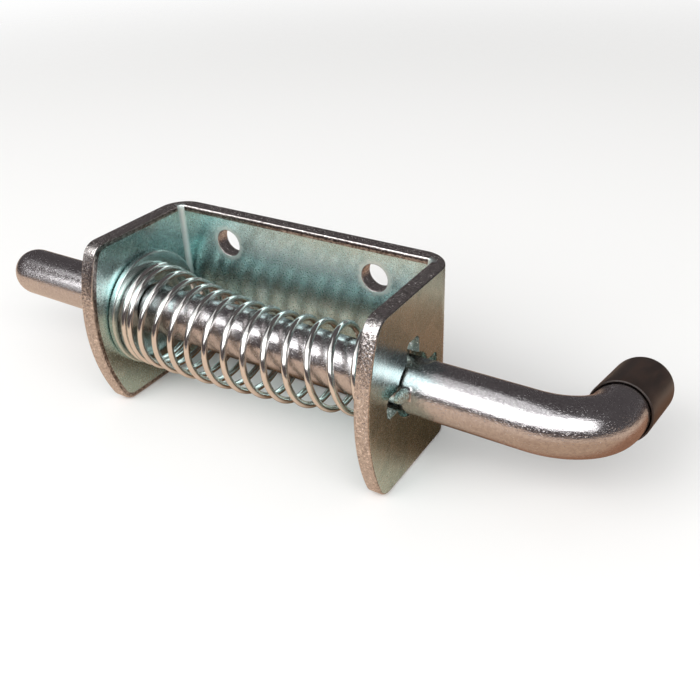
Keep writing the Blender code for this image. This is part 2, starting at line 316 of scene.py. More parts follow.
# Node group that takes a place and some values, and puts out masks or heights
def newGroup(name, values, results):
    group = bpy.data.node_groups.new(name, "ShaderNodeTree")
    group.interface.new_socket("Place", in_out="INPUT", socket_type="NodeSocketVector")
    for socketName, value in values.items():
        socket = group.interface.new_socket(socketName, in_out="INPUT", socket_type="NodeSocketFloat")
        socket.default_value = value
    for socketName in results:
        group.interface.new_socket(socketName, in_out="OUTPUT", socket_type="NodeSocketFloat")
    return group, addNode(group, "NodeGroupInput"), addNode(group, "NodeGroupOutput")


def useGroup(tree, group, place, **values):
    node = addNode(tree, "ShaderNodeGroup", node_tree=group)
    feed(tree, node.inputs["Place"], place)
    for key, value in values.items():
        feed(tree, node.inputs[key], value)
    return node


# Cloudy crystal pattern of a passivated zinc coat, from fine grains to broad patches
def makeZincClouds():
    sizes = {"Grain Size": 0.6 * mm, "Patch Size": 5 * mm}
    group, given, out = newGroup("zincClouds", sizes, ("Grain", "Patches"))
    place = given.outputs["Place"]
    grainScale = doMath(group, "DIVIDE", 1.0, given.outputs["Grain Size"])
    patchScale = doMath(group, "DIVIDE", 1.0, given.outputs["Patch Size"])
    fine = noiseAt(group, place, grainScale, detail=5.0, roughness=0.62, distortion=0.6)
    wide = noiseAt(group, place, patchScale, detail=3.0, roughness=0.5, distortion=0.9)
    feed(group, out.inputs["Grain"], remap(group, fine, 0.30, 0.70))
    feed(group, out.inputs["Patches"], remap(group, wide, 0.32, 0.68))
    return group


# Ragged micro relief that breaks up the edges of highlights
def makeSurfaceGrain():
    group, given, out = newGroup("surfaceGrain", {"Size": 0.4 * mm, "Pits": 0.4}, ("Height", "Pit Mask"))
    place = given.outputs["Place"]
    scale = doMath(group, "DIVIDE", 1.0, given.outputs["Size"])
    base = noiseAt(group, place, scale, detail=3.0, roughness=0.6)
    pitFineness = 2.6
    fineScale = doMath(group, "MULTIPLY", scale, pitFineness)
    pits = remap(group, noiseAt(group, place, fineScale, detail=2.0, roughness=0.5), 0.60, 0.72)
    sunk = doMath(group, "MULTIPLY", pits, given.outputs["Pits"])
    feed(group, out.inputs["Height"], doMath(group, "SUBTRACT", base, sunk))
    feed(group, out.inputs["Pit Mask"], pits)
    return group


# Fine drawn lines along X of the given place
def makeDrawnLines():
    group, given, out = newGroup("drawnLines", {"Width": 0.2 * mm}, ("Height", "Mask"))
    widthToLength = 0.035
    pulled = stretched(group, given.outputs["Place"], (widthToLength, 1.0, 1.0))
    scale = doMath(group, "DIVIDE", 1.0, given.outputs["Width"])
    lines = noiseAt(group, pulled, scale, detail=3.0, roughness=0.65)
    feed(group, out.inputs["Height"], lines)
    feed(group, out.inputs["Mask"], remap(group, lines, 0.56, 0.70))
    return group


zincClouds = makeZincClouds()
surfaceGrain = makeSurfaceGrain()
drawnLines = makeDrawnLines()


# Values that are the same all over the surface are set on the shader's own sockets
def startMaterial(name, **constants):
    material = bpy.data.materials.new(name)
    material.use_nodes = True
    tree = material.node_tree
    shader = tree.nodes["Principled BSDF"]
    for socketName, value in constants.items():
        shader.inputs[socketName].default_value = value
    return material, tree, shader


def addBump(tree, shader, height, distance):
    bump = addNode(tree, "ShaderNodeBump")
    bump.inputs["Distance"].default_value = distance
    feed(tree, bump.inputs["Height"], height)
    feed(tree, shader.inputs["Normal"], bump.outputs["Normal"])


def meshPlace(tree):
    return addNode(tree, "ShaderNodeAttribute", attribute_name="grainPlace").outputs["Vector"]


def vertexMask(tree, name):
    return addNode(tree, "ShaderNodeAttribute", attribute_name=name).outputs["Fac"]


def objectPlace(tree):
    return addNode(tree, "ShaderNodeTexCoord").outputs["Object"]


# Bracket: one folded sheet with screw holes, two bores and three notches round the right one

bracketSizes = {
    "halfLength": halfLength,
    "halfHeight": halfHeight,
    "barY": barAxis.y,
    "sheet": 3.6 * mm,
    "innerBend": 1.2 * mm,
    "outerBend": 6.5 * mm,
    "cornerReach": 31.4 * mm,     # mounting face to where the ear's front corners would meet
    "crown": 5.2 * mm,
    "cornerRadius": 4.3 * mm,
    "innerEdge": 1.5 * mm,        # rolled edge on the side of the spring, measured down the face
    "rollDepth": 0.42 * mm,       # its reach into the thickness
    "outerEdge": 0.45 * mm,
    "screwHole": 3.25 * mm,
    "screwHoleX": 20.5 * mm,
    "screwHoleZ": 13.4 * mm,
    "bore": 6.9 * mm,
    "notchWidth": 5.0 * mm,
    "notchReach": 10.7 * mm,
    "notchCorner": 1.3 * mm,
    "notchEdge": 0.12 * mm,
    "holeEdge": 0.22 * mm,
    "overshoot": 2.0 * mm,
}

bracketLook = {
    "zinc": (0.53, 0.70, 0.69),
    "zincDeep": (0.39, 0.57, 0.57),
    "zincPale": (0.70, 0.81, 0.79),
    "haloColour": (0.84, 0.93, 0.90),
    "haloWidth": 1.5 * mm,
    "haloRagged": 2.2 * mm,
    "shear": (0.64, 0.605, 0.59),
    "shearDark": (0.32, 0.29, 0.285),
    "sparkle": (0.93, 0.89, 0.87),
    "rollFootShade": (0.12, 0.10, 0.095),     # painted shade: dark line along the foot of the rolled edge
    "cutWall": (0.33, 0.42, 0.38),       # plated walls of the bore and notches
    "foldColour": (0.78, 0.88, 0.86),
    "roughness": 0.25,
    "shearRoughness": 0.16,
    "foldRoughness": 0.5,
}


def foldOutline(s):
    front = -(s["cornerReach"] + s["crown"] + s["overshoot"])
    earInner = s["halfLength"] - s["sheet"]
    outerX = s["halfLength"] - s["outerBend"]
    innerX = earInner - s["innerBend"]
    innerY = -s["sheet"] - s["innerBend"]
    points = [(-s["halfLength"], front)]
    points += arc((-outerX, -s["outerBend"]), s["outerBend"], math.pi, quarter, 18)
    points += arc((outerX, -s["outerBend"]), s["outerBend"], quarter, 0, 18)
    points += [(s["halfLength"], front), (earInner, front)]
    points += arc((innerX, innerY), s["innerBend"], 0, quarter, 10)
    points += arc((-innerX, innerY), s["innerBend"], quarter, math.pi, 10)
    return points + [(-earInner, front)]


def earOutline(s):
    halfHigh = s["halfHeight"]
    crownRadius = (halfHigh ** 2 + s["crown"] ** 2) / (2 * s["crown"])
    crownY = -(s["cornerReach"] + s["crown"]) + crownRadius
    cornerZ = halfHigh - s["cornerRadius"]
    cornerY = crownY - math.sqrt((crownRadius - s["cornerRadius"]) ** 2 - cornerZ ** 2)
    meet = math.atan2(cornerZ, cornerY - crownY)
    top = arc((cornerY, cornerZ), s["cornerRadius"], quarter, meet, 12)
    front = arc((crownY, 0), crownRadius, meet, math.tau - meet, 48)
    bottom = [(y, -z) for y, z in reversed(top)]
    return [(s["overshoot"], halfHigh)] + top + front[1:-1] + bottom + [(s["overshoot"], -halfHigh)]


# Depth of a point below the sheet's inner side, and the direction into the sheet there
def innerSide(point, s):
    faceX = s["halfLength"] - s["sheet"]
    bendX = faceX - s["innerBend"]
    bendY = -s["sheet"] - s["innerBend"]
    x, y = abs(point.x), point.y
    if x > bendX and y > bendY:
        away = Vector((x - bendX, y - bendY, 0))
        return away.length - s["innerBend"], away.normalized()
    if y > bendY:
        return y + s["sheet"], Vector((0, 1, 0))
    return x - faceX, Vector((1, 0, 0))


# Unit vector through the sheet's thickness at a point of the section
def throughSheet(point, s):
    depth, inward = innerSide(point, s)
    if depth < 0.5 * s["sheet"]:
        return inward
    centreX = s["halfLength"] - s["outerBend"]
    if abs(point.x) > centreX and point.y > -s["outerBend"]:
        return Vector((abs(point.x) - centreX, point.y + s["outerBend"], 0)).normalized()
    if point.y < -s["outerBend"]:
        return Vector((1, 0, 0))
    return Vector((0, 1, 0))


# Rounds the sheet's cut edges, with one radius on its outer side and another on its inner side
def roundSheetEdges(mesh, s):
    builder = bmesh.new()
    builder.from_mesh(mesh)
    bmesh.ops.remove_doubles(builder, verts=builder.verts, dist=1e-5)
    bmesh.ops.dissolve_limit(builder, angle_limit=math.radians(0.2),
                             verts=builder.verts, edges=builder.edges)
    builder.normal_update()

    nearFace = 0.15 * s["sheet"]
    farFront = -3 * s["sheet"]
    level = 0.01                       # a normal's share along an axis that counts as none

    def isCutFace(face):
        atFront = face.calc_center_median().y < farFront
        return abs(face.normal.x) < level and (abs(face.normal.z) > level or atFront)

    def isOuterFace(face):
        centre = face.calc_center_median()
        bendX = s["halfLength"] - s["outerBend"]
        fromBend = Vector((abs(centre.x) - bendX, centre.y + s["outerBend"])).length
        inBend = abs(centre.x) > bendX and centre.y > -s["outerBend"]
        onBend = inBend and fromBend > s["outerBend"] - nearFace
        return centre.y > -nearFace or abs(centre.x) > s["halfLength"] - nearFace or onBend

    for wantOuter, radius in ((True, s["outerEdge"]), (False, s["innerEdge"])):
        chosen = []
        for edge in builder.edges:
            if len(edge.link_faces) != 2:
                continue
            cutFaces = [isCutFace(face) for face in edge.link_faces]
            if cutFaces[0] == cutFaces[1]:
                continue
            sheetFace = edge.link_faces[1] if cutFaces[0] else edge.link_faces[0]
            if abs(sheetFace.normal.z) < level and isOuterFace(sheetFace) == wantOuter:
                chosen.append(edge)
        bmesh.ops.bevel(builder, geom=chosen, offset=radius, offset_type="OFFSET", segments=7,
                        profile=0.5, affect="EDGES", clamp_overlap=False)
        builder.normal_update()

    # the punch rolls the inner edge far down the face but not deep into the sheet
    for vert in builder.verts:
        depth, inward = innerSide(vert.co, s)
        if 0 < depth < 1.001 * s["innerEdge"]:
            shift = (s["rollDepth"] / s["innerEdge"] - 1) * depth * inward
            vert.co += Vector((math.copysign(shift.x, shift.x * vert.co.x), shift.y, 0))
    return meshFrom(builder, "bracketSheet")


# Cutter through one wall along X, wider at both faces so that it leaves a rounded rim
def holeCutter(outlineAt, wallFrom, wallTo, rim, overshoot):
    proud = 0.03 * rim
    rimAngles = [quarter * step / 4 for step in range(5)]
    entry = [(rim * (1 - math.cos(a)) - proud, rim * (1 - math.sin(a))) for a in rimAngles]
    steps = [(wallFrom - overshoot, rim)] + [(wallFrom + along, grow) for along, grow in entry]
    steps += [(wallTo - along, grow) for along, grow in reversed(entry)] + [(wallTo + overshoot, rim)]
    rings = [[Vector((along, y, z)) for y, z in outlineAt(grow)] for along, grow in steps]
    return skin("holeCutter", rings, rings)


def circleOutline(radius, sides):
    return lambda grow: arc((0, 0), radius + grow, 0, math.tau * (1 - 1 / sides), sides - 1)


# Slot with rounded corners, between a lowest and a highest z
def slotOutline(halfY, lowZ, highZ, corner):
    def outline(grow):
        y = halfY - corner
        points = []
        for turnIndex, (cornerY, cornerZ) in enumerate(((y, highZ - corner), (-y, highZ - corner),
                                                        (-y, lowZ + corner), (y, lowZ + corner))):
            start = turnIndex * quarter
            points += arc((cornerY, cornerZ), corner + grow, start, start + quarter, 6)
        return points
    return outline


# Vertex masks: torn walls of the cuts with the rolled edges, the foot of the rolled edge where shade is
# painted, and the inside of the folds
def markShearAndShade(mesh, s):
    builder = bmesh.new()
    builder.from_mesh(mesh)
    builder.normal_update()
    layer = builder.verts.layers.float.new("shearAndShadeMask")
    foldLayer = builder.verts.layers.float.new("foldMask")
    foldX = s["halfLength"] - s["sheet"] - s["innerBend"]
    foldY = -s["sheet"] - s["innerBend"]
    margin = 0.05 * s["innerBend"]
    foldReach = 1.3 * s["innerBend"]
    rimZ = s["halfHeight"] - 1.01 * s["innerEdge"]
    rimY = -0.8 * s["cornerReach"]
    footShadeMark, rollMark, footDepth = 0.12, 0.3, 0.3
    for vert in builder.verts:
        inFold = abs(vert.co.x) > foldX + margin and foldY + margin < vert.co.y < 0.5 * foldY
        fromCorner = Vector((abs(vert.co.x) - foldX, vert.co.y - foldY)).length
        vert[foldLayer] = 1.0 if inFold and fromCorner < foldReach else 0.0
        through = throughSheet(vert.co, s)
        values = []
        for face in vert.link_faces:
            lean = Vector((abs(face.normal.x), abs(face.normal.y), face.normal.z)).dot(through)
            values.append(1 - min(1.0, abs(lean)))
        vert[layer] = 0.0 if min(values) < 0.004 else sum(values) / len(values)
        depth = innerSide(vert.co, s)[0] / s["rollDepth"]
        # the rolled edge's lower rows get the mark for the painted shade, its upper rows the torn look
        if (abs(vert.co.z) > rimZ or vert.co.y < rimY) and 0.02 < depth < 1.01:
            vert[layer] = footShadeMark if depth < footDepth else rollMark
    builder.to_mesh(mesh)
    builder.free()


# The cuts are made at a thousand times the size, where the solver's merge distances can't matter
def makeBracketMesh(sizes):
    workScale = 1000.0
    s = {key: value * workScale for key, value in sizes.items()}
    tall = s["halfHeight"] + s["overshoot"]
    sheet = prism([(x, y, -tall) for x, y in foldOutline(s)], (0, 0, 2 * tall))
    wide = s["halfLength"] + s["overshoot"]
    sideView = prism([(-wide, y, z) for y, z in earOutline(s)], (2 * wide, 0, 0))
    mesh = roundSheetEdges(carve(sheet, sideView, "INTERSECT"), s)

    toPlate = Matrix.Rotation(quarter, 4, "Z")
    screwHole = circleOutline(s["screwHole"], 64)
    cuts = []
    for x in (-s["screwHoleX"], s["screwHoleX"]):
        for z in (-s["screwHoleZ"], s["screwHoleZ"]):
            cuts.append((screwHole, -s["sheet"], 0.0, s["holeEdge"], Matrix.Translation((x, 0, z)) @ toPlate))

    toAxis = Matrix.Translation((0, s["barY"], 0))
    earOuter = s["halfLength"]
    earInner = earOuter - s["sheet"]
    for wallFrom, wallTo in ((-earOuter, -earInner), (earInner, earOuter)):
        cuts.append((circleOutline(s["bore"], 96), wallFrom, wallTo, s["holeEdge"], toAxis))
    halfNotch = s["notchWidth"] / 2
    reach = s["notchReach"]
    for halfY, lowZ, highZ in ((reach, -halfNotch, halfNotch), (halfNotch, -s["bore"] / 2, reach)):
        notch = slotOutline(halfY, lowZ, highZ, s["notchCorner"])
        cuts.append((notch, earInner, earOuter, s["notchEdge"], toAxis))
    for outline, wallFrom, wallTo, rim, place in cuts:
        cutter = holeCutter(outline, wallFrom, wallTo, rim, s["overshoot"])
        cutter.transform(place)
        mesh = carve(mesh, cutter)
    markShearAndShade(mesh, s)
    mesh.transform(Matrix.Scale(1 / workScale, 4))
    return mesh


def makeBracketMaterial(look, s):
    material, tree, shader = startMaterial("bracketZinc", Metallic=1.0)
    place = objectPlace(tree)
    clouds = useGroup(tree, zincClouds, place, **{"Grain Size": 0.7 * mm, "Patch Size": 5.5 * mm})
    coat = blendColour(tree, clouds.outputs["Patches"], look["zincDeep"], look["zinc"])
    paleShare = doMath(tree, "MULTIPLY", clouds.outputs["Grain"], 0.4)
    coat = blendColour(tree, paleShare, coat, look["zincPale"])

    # pale ring round each screw hole
    parts = splitPlace(tree, place)
    fromX = doMath(tree, "SUBTRACT", doMath(tree, "ABSOLUTE", parts["X"]), s["screwHoleX"])
    fromZ = doMath(tree, "SUBTRACT", doMath(tree, "ABSOLUTE", parts["Z"]), s["screwHoleZ"])
    lumps = doMath(tree, "SUBTRACT", noiseAt(tree, place, 900, detail=3.0, roughness=0.6), 0.5)
    reach = addScaled(tree, hypotenuse(tree, fromX, fromZ), lumps, look["haloRagged"])
    halo = remap(tree, reach, s["screwHole"] + 0.35 * mm, s["screwHole"] + look["haloWidth"], 0.8, 0.0)
    coat = blendColour(tree, halo, coat, look["haloColour"])

    # torn metal of the sheared edges
    shearAndShadeAt = vertexMask(tree, "shearAndShadeMask")
    shear = remap(tree, shearAndShadeAt, 0.01, 0.10)
    torn = useGroup(tree, surfaceGrain, place, **{"Size": 0.6 * mm, "Pits": 0.5})
    raised = remap(tree, torn.outputs["Height"], 0.25, 0.6)
    tornColour = blendColour(tree, raised, look["shearDark"], look["shear"])
    flecks = remap(tree, noiseAt(tree, place, 1700, detail=3.0), 0.56, 0.66)
    tornColour = blendColour(tree, flecks, tornColour, look["sparkle"])
    # painted shade along the foot of the rolled edge, broken up by the grain
    paintedRollShade = remap(tree, shearAndShadeAt, 0.26, 0.13)
    paintedRollShade = doMath(tree, "MULTIPLY", paintedRollShade, remap(tree, clouds.outputs["Grain"], 0.2, 0.7, 1.0, 0.5))
    tornColour = blendColour(tree, paintedRollShade, tornColour, look["rollFootShade"])

    # the plating covers the walls of the bore and the notches
    axisReach = hypotenuse(tree, doMath(tree, "SUBTRACT", parts["Y"], s["barY"]), parts["Z"])
    atBore = remap(tree, axisReach, s["notchReach"] + 0.9 * mm, s["notchReach"] + 0.2 * mm)
    wallColour = blendColour(tree, flecks, look["cutWall"], look["haloColour"])
    tornColour = blendColour(tree, atBore, tornColour, wallColour)
    coat = blendColour(tree, shear, coat, tornColour)
    fold = vertexMask(tree, "foldMask")
    feed(tree, shader.inputs["Base Color"], blendColour(tree, fold, coat, look["foldColour"]))

    rough = addScaled(tree, look["roughness"] - 0.04, clouds.outputs["Grain"], 0.09)
    rough = addScaled(tree, rough, halo, 0.22)
    rough = mixValue(tree, shear, rough, look["shearRoughness"])
    feed(tree, shader.inputs["Roughness"], mixValue(tree, fold, rough, look["foldRoughness"]))

    fine = useGroup(tree, surfaceGrain, place, **{"Size": 0.5 * mm, "Pits": 0.2})
    sway = noiseAt(tree, place, 160, detail=2.0, roughness=0.4)
    calm = addScaled(tree, sway, fine.outputs["Height"], 0.05)
    tearing = remap(tree, shearAndShadeAt, 0.15, 0.6, 0.5, 2.2)
    rugged = doMath(tree, "MULTIPLY", torn.outputs["Height"], tearing)
    addBump(tree, shader, mixValue(tree, shear, calm, rugged), 0.06 * mm)
    return material


bracketMaterial = makeBracketMaterial(bracketLook, bracketSizes)
bracketSheet = addPiece("bracketSheet", makeBracketMesh(bracketSizes), bracketMaterial,
                        "bracket", "bracket", math.radians(50))
steadyNormals(bracketSheet.data, math.radians(50))


# Bar: round, with a domed tip, pinched lugs, a bend and a cut end inside the cap

barSizes = {
    "radius": 6.0 * mm,
    "bendFromEar": 25.5 * mm,
    "bendRadius": 12.4 * mm,
    "bendAngle": math.radians(88),
    "handleDrop": math.radians(12),
    "bareHandle": 3.4 * mm,
    "endChamfer": 0.6 * mm,
    "capLength": 19.78 * mm,
    "capEndWall": 1.8 * mm,
    "endGap": 0.2 * mm,
    "lugTurn": math.radians(15),   # the lugs lean this far from level, up on the viewer's side
    "lugWidth": 2.8 * mm,
    "lugReach": 10.2 * mm,
    "lugFrom": 0.3 * mm,           # clear of the ear's outer face
    "lugLength": 2.2 * mm,
    "washerLugReach": 6.65 * mm,
    "washerLugLength": 2.0 * mm,
    "crumple": 0.2 * mm,
    "pinchDepth": 0.6 * mm,
    "pinchTool": 5.0 * mm,
    "sides": 144,
}

barLook = {
    "zinc": (0.66, 0.645, 0.65),
    "zincDark": (0.50, 0.475, 0.49),
    "lug": (0.48, 0.60, 0.56),
    "roughness": 0.18,
}

alongBar = Vector((1, 0, 0))
handleDirection = Vector((0, math.cos(barSizes["handleDrop"]), -math.sin(barSizes["handleDrop"])))
acrossHandle = alongBar.cross(handleDirection)


def bendPlace(s, angle):
    start = barAxis + Vector((halfLength + s["bendFromEar"], 0, 0))
    centre = start + s["bendRadius"] * (math.sin(angle) * alongBar + (1 - math.cos(angle)) * handleDirection)
    return centre, math.cos(angle) * alongBar + math.sin(angle) * handleDirection


# Centre, direction and radius along the bar
def barStations(s):
    tipX = barLow.x
    stations = []
    domeSteps = 16
    for step in range(domeSteps + 1):
        angle = quarter * step / domeSteps
        x = tipX + s["radius"] * (1 - math.cos(angle))
        stations.append((Vector((x, barAxis.y, barAxis.z)), alongBar, s["radius"] * math.sin(angle)))
    earLug = halfLength + s["lugFrom"] + s["lugLength"] / 2
    washerLug = washerLow.x - s["endGap"] - s["washerLugLength"] / 2
    x = tipX + s["radius"]
    bendX = halfLength + s["bendFromEar"]
    fineStep, coarseStep, fineReach = 0.16 * mm, 1.5 * mm, 2.9 * mm
    while x < bendX - 1e-6:
        near = min(abs(x - earLug), abs(x - washerLug))
        x = min(bendX, x + (fineStep if near < fineReach else coarseStep))
        stations.append((Vector((x, barAxis.y, barAxis.z)), alongBar, s["radius"]))
    bendSteps = 40
    for step in range(1, bendSteps + 1):
        stations.append((*bendPlace(s, s["bendAngle"] * step / bendSteps), s["radius"]))
    legStart, tangent, _ = stations[-1]
    leg = s["bareHandle"] + s["capLength"] - s["capEndWall"] - s["endGap"]
    for share in (0.2, 0.4, 0.6, 0.8):
        stations.append((legStart + leg * share * tangent, tangent, s["radius"]))
    stations.append((legStart + (leg - s["endChamfer"]) * tangent, tangent, s["radius"]))
    stations.append((legStart + leg * tangent, tangent, s["radius"] - s["endChamfer"]))
    return stations


# How the pinching changes the radius at x, in a direction given by its angle from +Y towards +Z
def pinchedRadius(s, x, angle, radius):
    lugs = (
        (halfLength + s["lugFrom"], s["lugLength"], s["lugReach"], s["crumple"]),
        (washerLow.x - s["endGap"] - s["washerLugLength"], s["washerLugLength"], s["washerLugReach"], 0.0),
    )
    rounding = 4                       # of the lugs' section: 2 is an ellipse, and more is squarer
    lumpSize = 1.1 * mm
    shoulder = 0.9 * mm
    dentFrom = 0.3                     # sine of the lean at which the tool's dent begins
    for start, length, reach, crumple in lugs:
        middle = start + length / 2
        fromMiddle = abs(x - middle)
        if fromMiddle > s["pinchTool"]:
            continue
        lean = angle + s["lugTurn"]
        sine = abs(math.sin(lean))
        cosine = abs(math.cos(lean))
        squeezed = (sine / (0.5 * s["lugWidth"])) ** rounding
        outline = ((cosine / reach) ** rounding + squeezed) ** (-1 / rounding)
        lump = Vector((x, outline * math.cos(lean), outline * math.sin(lean))) / lumpSize
        outline += crumple * noise.noise(lump)
        gate = 1 - smoothStep(fromMiddle, length / 2 - shoulder, length / 2) ** 2
        if outline > radius:
            radius = radius + (outline - radius) * gate
        # the tool's dent, square to the lugs
        toolHeight = s["radius"] + s["pinchTool"] - s["pinchDepth"]
        dent = toolHeight - math.sqrt(s["pinchTool"] ** 2 - fromMiddle ** 2)
        if dent < s["radius"] and sine > dentFrom:
            radius = min(radius, dent / sine)
    return radius


def makeBarMesh(s):
    rings = []
    places = []
    travelled = 0.0
    before = None
    for centre, tangent, radius in barStations(s):
        if before is not None:
            travelled += (centre - before).length
        before = centre
        side = acrossHandle.cross(tangent)
        if radius <= 0:
            rings.append([centre])
            places.append([Vector((travelled, 0, 0))])
            continue
        isPinched = tangent.x > 0.9999 and radius == s["radius"]

        def sizeAt(direction):
            if not isPinched:
                return radius
            return pinchedRadius(s, centre.x, math.atan2(direction.z, direction.y), radius)

        ring, ringPlaces = ringAt(centre, travelled, side, acrossHandle, s["sides"], sizeAt)
        rings.append(ring)
        places.append(ringPlaces)
    return skin("boltBar", rings, places)


def makeBarMaterial(look, s):
    material, tree, shader = startMaterial("barZinc", Metallic=1.0)
    place = meshPlace(tree)
    clouds = useGroup(tree, zincClouds, place, **{"Grain Size": 0.55 * mm, "Patch Size": 6.0 * mm})
    grain = useGroup(tree, surfaceGrain, stretched(tree, place, (0.55, 1.0, 1.0)),
                     **{"Size": 0.55 * mm, "Pits": 0.35})
    lines = useGroup(tree, drawnLines, place, Width=0.12 * mm)
    colour = blendColour(tree, clouds.outputs["Grain"], look["zincDark"], look["zinc"])

    # the squeezed metal of the lugs stands out of the round bar
    parts = splitPlace(tree, place)
    reach = hypotenuse(tree, parts["Y"], parts["Z"])
    lug = remap(tree, reach, s["radius"] + 0.2 * mm, s["radius"] + 0.9 * mm)
    feed(tree, shader.inputs["Base Color"], blendColour(tree, lug, colour, look["lug"]))
    rough = addScaled(tree, look["roughness"] - 0.03, clouds.outputs["Patches"], 0.07)
    feed(tree, shader.inputs["Roughness"], addScaled(tree, rough, grain.outputs["Pit Mask"], 0.1))
    height = addScaled(tree, grain.outputs["Height"], lines.outputs["Height"], 0.25)
    crumpled = doMath(tree, "MULTIPLY", clouds.outputs["Grain"], lug)
    addBump(tree, shader, addScaled(tree, height, crumpled, 5.0), 0.042 * mm)
    return material


addPiece("boltBar", makeBarMesh(barSizes), makeBarMaterial(barLook, barSizes),
         "bolt", "bolt_rod", math.radians(48))


# Washer: stamped flat, with a rounded rim

washerSizes = {
    "radius": 14.1 * mm,
    "bore": 6.3 * mm,
    "rimEdge": 0.45 * mm,
    "boreEdge": 0.25 * mm,
    "sides": 160,
}

washerLook = {
    "zinc": (0.63, 0.72, 0.705),
    "zincDeep": (0.52, 0.62, 0.61),
    "roughness": 0.2,
}


def makeWasherMesh(s):
    thick = washerHigh.x - washerLow.x
    edge = s["rimEdge"]
    small = s["boreEdge"]
    profile = arc((small, s["bore"] + small), small, math.pi * 1.5, math.pi, 4)
    profile += arc((edge, s["radius"] - edge), edge, math.pi, quarter, 6)
    profile += arc((thick - edge, s["radius"] - edge), edge, quarter, 0, 6)
    profile += arc((thick - small, s["bore"] + small), small, 0, -quarter, 4)
    origin = Vector((washerLow.x, barAxis.y, barAxis.z))
    return turn("washerDisc", profile, s["sides"], origin, Matrix.Identity(3), loop=True)


def makeWasherMaterial(look):
    material, tree, shader = startMaterial("washerZinc", Metallic=1.0)
    place = meshPlace(tree)
    clouds = useGroup(tree, zincClouds, place, **{"Grain Size": 0.6 * mm, "Patch Size": 4.0 * mm})
    colour = blendColour(tree, clouds.outputs["Grain"], look["zincDeep"], look["zinc"])
    feed(tree, shader.inputs["Base Color"], colour)
    feed(tree, shader.inputs["Roughness"], addScaled(tree, look["roughness"], clouds.outputs["Grain"], 0.07))
    grain = useGroup(tree, surfaceGrain, place, **{"Size": 0.5 * mm, "Pits": 0.3})
    addBump(tree, shader, grain.outputs["Height"], 0.012 * mm)
    return material


addPiece("washerDisc", makeWasherMesh(washerSizes), makeWasherMaterial(washerLook),
         "carriage", "washer", math.radians(60))


# Spring: wide and close-wound at the washer, narrow and open at the right ear

springSizes = {
    "wire": 0.75 * mm,             # radius of the wire
    "radiusAtWasher": 12.65 * mm,
    "radiusAtEar": 9.9 * mm,
    "taper": 2.3,
    "closedAtWasher": 1.43,
    "openTurns": 12.33,
    "closedAtEar": 0.78,
    "closedGap": 0.28 * mm,
    "openPitchRatio": 0.71,
    "startAngle": math.radians(66),
    "forward": (0.54 * mm, -0.15 * mm, 1.36 * mm),   # off the bar's axis at the washer, at the ear, bow
    "down": (1.05 * mm, -1.53 * mm, 2.18 * mm),
    "tilt": 1.39,                  # how far open coils tilt with the bow
    "tiltTurns": 1.2,
    "touchGap": 0.2 * mm,
    "sleeveGap": 0.3 * mm,
    "stepsPerTurn": 72,
    "sides": 20,
}

springLook = {
    "steel": (0.80, 0.79, 0.77),
    "steelDark": (0.66, 0.64, 0.62),
    "roughness": 0.13,
}


# Offset and slope of a bowed line from its values at the washer and the ear and its bow
def bowed(values, along):
    atWasher, atEar, bow = values
    offset = atWasher * (1 - along) + atEar * along + bow * 4 * along * (1 - along)
    return offset, atEar - atWasher + bow * 4 * (1 - 2 * along)


# Centre line of the wire and the middle of the coil at each of its points
def wireLine(s):
    closedPitch = 2 * s["wire"] + s["closedGap"]
    startX = washerHigh.x + s["touchGap"] + s["wire"]
    endX = halfLength - bracketSizes["sheet"] - s["touchGap"] - s["wire"]
    closedStart = s["closedAtWasher"] * closedPitch
    openLength = endX - startX - closedStart - s["closedAtEar"] * closedPitch
    turns = s["closedAtWasher"] + s["openTurns"] + s["closedAtEar"]
    slack = 1 - s["openPitchRatio"]
    count = round(turns * s["stepsPerTurn"])
    points = []
    for index in range(count + 1):
        turnCount = turns * index / count
        if turnCount < s["closedAtWasher"]:
            x = startX + turnCount * closedPitch
        elif turnCount > turns - s["closedAtEar"]:
            x = endX - (turns - turnCount) * closedPitch
        else:
            share = (turnCount - s["closedAtWasher"]) / s["openTurns"]
            wound = (share - slack * (1 - (1 - share) ** 3) / 3) / (1 - slack / 3)
            x = startX + closedStart + openLength * wound
        along = (x - startX) / (endX - startX)
        outer = s["radiusAtEar"] + (s["radiusAtWasher"] - s["radiusAtEar"]) * (1 - along) ** s["taper"]
        radius = outer - s["wire"]
        forward, forwardSlope = bowed(s["forward"], along)
        down, downSlope = bowed(s["down"], along)
        room = outer - 2 * s["wire"] - barSizes["radius"] - s["sleeveGap"]
        held = min(1.0, room / max(math.hypot(forward, down), s["sleeveGap"]))
        angle = s["startAngle"] + math.tau * turnCount
        y = radius * math.cos(angle)
        z = radius * math.sin(angle)
        tilt = s["tilt"] * (forwardSlope * y + downSlope * z) / (endX - startX)
        tilt *= smoothStep(turnCount, s["closedAtWasher"], s["closedAtWasher"] + s["tiltTurns"])
        tilt *= smoothStep(turns - turnCount, s["closedAtEar"], s["closedAtEar"] + s["tiltTurns"])
        middle = barAxis + Vector((x, -held * forward, -held * down))
        points.append((middle + Vector((tilt, y, z)), middle))
    return points


def makeSpringMesh(s):
    line = wireLine(s)
    rings = []
    places = []
    travelled = 0.0
    last = len(line) - 1
    for index, (point, middle) in enumerate(line):
        ahead = line[min(last, index + 1)][0]
        behind = line[max(0, index - 1)][0]
        tangent = (ahead - behind).normalized()
        travelled += (point - behind).length
        outward = point - middle
        outward = (outward - outward.dot(tangent) * tangent).normalized()
        sideways = tangent.cross(outward)
        ring, ringPlaces = ringAt(point, travelled, outward, sideways, s["sides"],
                                  lambda direction: s["wire"])
        rings.append(ring)
        places.append(ringPlaces)
    return skin("springWire", rings, places)


